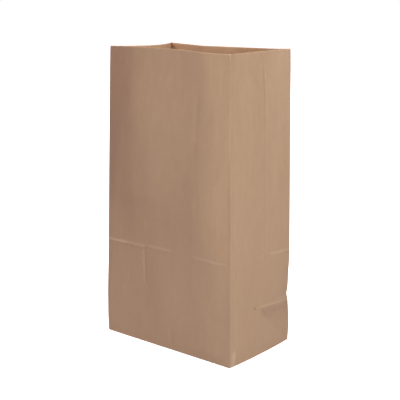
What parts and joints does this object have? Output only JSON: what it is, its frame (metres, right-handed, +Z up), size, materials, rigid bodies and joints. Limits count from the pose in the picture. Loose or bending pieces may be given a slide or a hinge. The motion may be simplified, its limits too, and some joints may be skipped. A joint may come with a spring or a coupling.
{
  "type": "paper lunch bag",
  "caption": "Flat-bottomed folded brown paper lunch bag, standing open, with side gussets, a lapped back seam and a pasted folded base.",
  "frame": {"origin": "centre of the base, on the plane the bag stands on", "axes": "+Z up through the open mouth, X along the wide panels with the front panel facing -Y, Y along the gussets"},
  "size_m": [0.1549, 0.0987, 0.2809],
  "materials": {
    "kraft_paper": "matte unbleached machine-glazed kraft paper"
  },
  "bodies": {
    "root": {"folded_paper_bag": "kraft_paper"}
  },
  "joints": []
}
